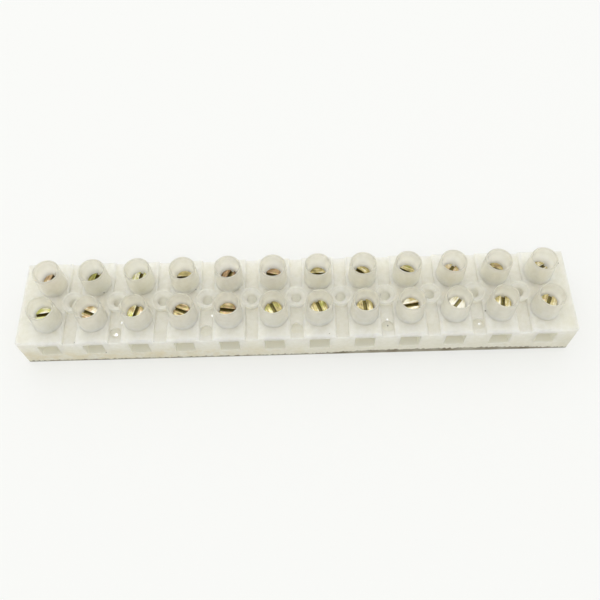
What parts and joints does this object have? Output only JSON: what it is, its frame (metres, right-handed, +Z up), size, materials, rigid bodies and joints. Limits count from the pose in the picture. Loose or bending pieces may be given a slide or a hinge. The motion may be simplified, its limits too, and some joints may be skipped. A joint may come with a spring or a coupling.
{
  "type": "screw terminal strip",
  "caption": "Straight moulded strip of brass screw terminals in translucent plastic, with round screw towers in two rows, square wire entries and countersunk fixing holes.",
  "frame": {"origin": "middle of the flat underside", "axes": "+X along the strip, +Y to the back row, +Z up the screws"},
  "size_m": [0.1232, 0.0204, 0.0152],
  "materials": {
    "milky_plastic": "translucent natural polyethylene, softly satin",
    "insert_brass": "plain drawn brass",
    "screw_brass": "bright, yellow passivated"
  },
  "bodies": {
    "strip": {"housing": "milky_plastic", "terminal_01": "insert_brass", "terminal_02": "insert_brass", "terminal_03": "insert_brass", "terminal_04": "insert_brass", "terminal_05": "insert_brass", "terminal_06": "insert_brass", "terminal_07": "insert_brass", "terminal_08": "insert_brass", "terminal_09": "insert_brass", "terminal_10": "insert_brass", "terminal_11": "insert_brass", "terminal_12": "insert_brass"},
    "screw_front_01": {"screw_front_01": "screw_brass"},
    "screw_front_02": {"screw_front_02": "screw_brass"},
    "screw_front_03": {"screw_front_03": "screw_brass"},
    "screw_front_04": {"screw_front_04": "screw_brass"},
    "screw_front_05": {"screw_front_05": "screw_brass"},
    "screw_front_06": {"screw_front_06": "screw_brass"},
    "screw_front_07": {"screw_front_07": "screw_brass"},
    "screw_front_08": {"screw_front_08": "screw_brass"},
    "screw_front_09": {"screw_front_09": "screw_brass"},
    "screw_front_10": {"screw_front_10": "screw_brass"},
    "screw_front_11": {"screw_front_11": "screw_brass"},
    "screw_front_12": {"screw_front_12": "screw_brass"},
    "screw_back_01": {"screw_back_01": "screw_brass"},
    "screw_back_02": {"screw_back_02": "screw_brass"},
    "screw_back_03": {"screw_back_03": "screw_brass"},
    "screw_back_04": {"screw_back_04": "screw_brass"},
    "screw_back_05": {"screw_back_05": "screw_brass"},
    "screw_back_06": {"screw_back_06": "screw_brass"},
    "screw_back_07": {"screw_back_07": "screw_brass"},
    "screw_back_08": {"screw_back_08": "screw_brass"},
    "screw_back_09": {"screw_back_09": "screw_brass"},
    "screw_back_10": {"screw_back_10": "screw_brass"},
    "screw_back_11": {"screw_back_11": "screw_brass"},
    "screw_back_12": {"screw_back_12": "screw_brass"}
  },
  "joints": [
    {"name": "screw_front_01_travel", "type": "slide", "parent": "strip", "child": "screw_front_01", "axis": [0, 0, 1], "range_m": [-0.0023, 0.0006]},
    {"name": "screw_front_02_travel", "type": "slide", "parent": "strip", "child": "screw_front_02", "axis": [0, 0, 1], "range_m": [-0.0023, 0.0006]},
    {"name": "screw_front_03_travel", "type": "slide", "parent": "strip", "child": "screw_front_03", "axis": [0, 0, 1], "range_m": [-0.0023, 0.0006]},
    {"name": "screw_front_04_travel", "type": "slide", "parent": "strip", "child": "screw_front_04", "axis": [0, 0, 1], "range_m": [-0.0023, 0.0006]},
    {"name": "screw_front_05_travel", "type": "slide", "parent": "strip", "child": "screw_front_05", "axis": [0, 0, 1], "range_m": [-0.0023, 0.0006]},
    {"name": "screw_front_06_travel", "type": "slide", "parent": "strip", "child": "screw_front_06", "axis": [0, 0, 1], "range_m": [-0.0023, 0.0006]},
    {"name": "screw_front_07_travel", "type": "slide", "parent": "strip", "child": "screw_front_07", "axis": [0, 0, 1], "range_m": [-0.0023, 0.0006]},
    {"name": "screw_front_08_travel", "type": "slide", "parent": "strip", "child": "screw_front_08", "axis": [0, 0, 1], "range_m": [-0.0023, 0.0006]},
    {"name": "screw_front_09_travel", "type": "slide", "parent": "strip", "child": "screw_front_09", "axis": [0, 0, 1], "range_m": [-0.0023, 0.0006]},
    {"name": "screw_front_10_travel", "type": "slide", "parent": "strip", "child": "screw_front_10", "axis": [0, 0, 1], "range_m": [-0.0023, 0.0006]},
    {"name": "screw_front_11_travel", "type": "slide", "parent": "strip", "child": "screw_front_11", "axis": [0, 0, 1], "range_m": [-0.0023, 0.0006]},
    {"name": "screw_front_12_travel", "type": "slide", "parent": "strip", "child": "screw_front_12", "axis": [0, 0, 1], "range_m": [-0.0023, 0.0006]},
    {"name": "screw_back_01_travel", "type": "slide", "parent": "strip", "child": "screw_back_01", "axis": [0, 0, 1], "range_m": [-0.0012, 0.0017]},
    {"name": "screw_back_02_travel", "type": "slide", "parent": "strip", "child": "screw_back_02", "axis": [0, 0, 1], "range_m": [-0.0012, 0.0017]},
    {"name": "screw_back_03_travel", "type": "slide", "parent": "strip", "child": "screw_back_03", "axis": [0, 0, 1], "range_m": [-0.0012, 0.0017]},
    {"name": "screw_back_04_travel", "type": "slide", "parent": "strip", "child": "screw_back_04", "axis": [0, 0, 1], "range_m": [-0.0012, 0.0017]},
    {"name": "screw_back_05_travel", "type": "slide", "parent": "strip", "child": "screw_back_05", "axis": [0, 0, 1], "range_m": [-0.0012, 0.0017]},
    {"name": "screw_back_06_travel", "type": "slide", "parent": "strip", "child": "screw_back_06", "axis": [0, 0, 1], "range_m": [-0.0012, 0.0017]},
    {"name": "screw_back_07_travel", "type": "slide", "parent": "strip", "child": "screw_back_07", "axis": [0, 0, 1], "range_m": [-0.0012, 0.0017]},
    {"name": "screw_back_08_travel", "type": "slide", "parent": "strip", "child": "screw_back_08", "axis": [0, 0, 1], "range_m": [-0.0012, 0.0017]},
    {"name": "screw_back_09_travel", "type": "slide", "parent": "strip", "child": "screw_back_09", "axis": [0, 0, 1], "range_m": [-0.0012, 0.0017]},
    {"name": "screw_back_10_travel", "type": "slide", "parent": "strip", "child": "screw_back_10", "axis": [0, 0, 1], "range_m": [-0.0012, 0.0017]},
    {"name": "screw_back_11_travel", "type": "slide", "parent": "strip", "child": "screw_back_11", "axis": [0, 0, 1], "range_m": [-0.0012, 0.0017]},
    {"name": "screw_back_12_travel", "type": "slide", "parent": "strip", "child": "screw_back_12", "axis": [0, 0, 1], "range_m": [-0.0012, 0.0017]}
  ]
}
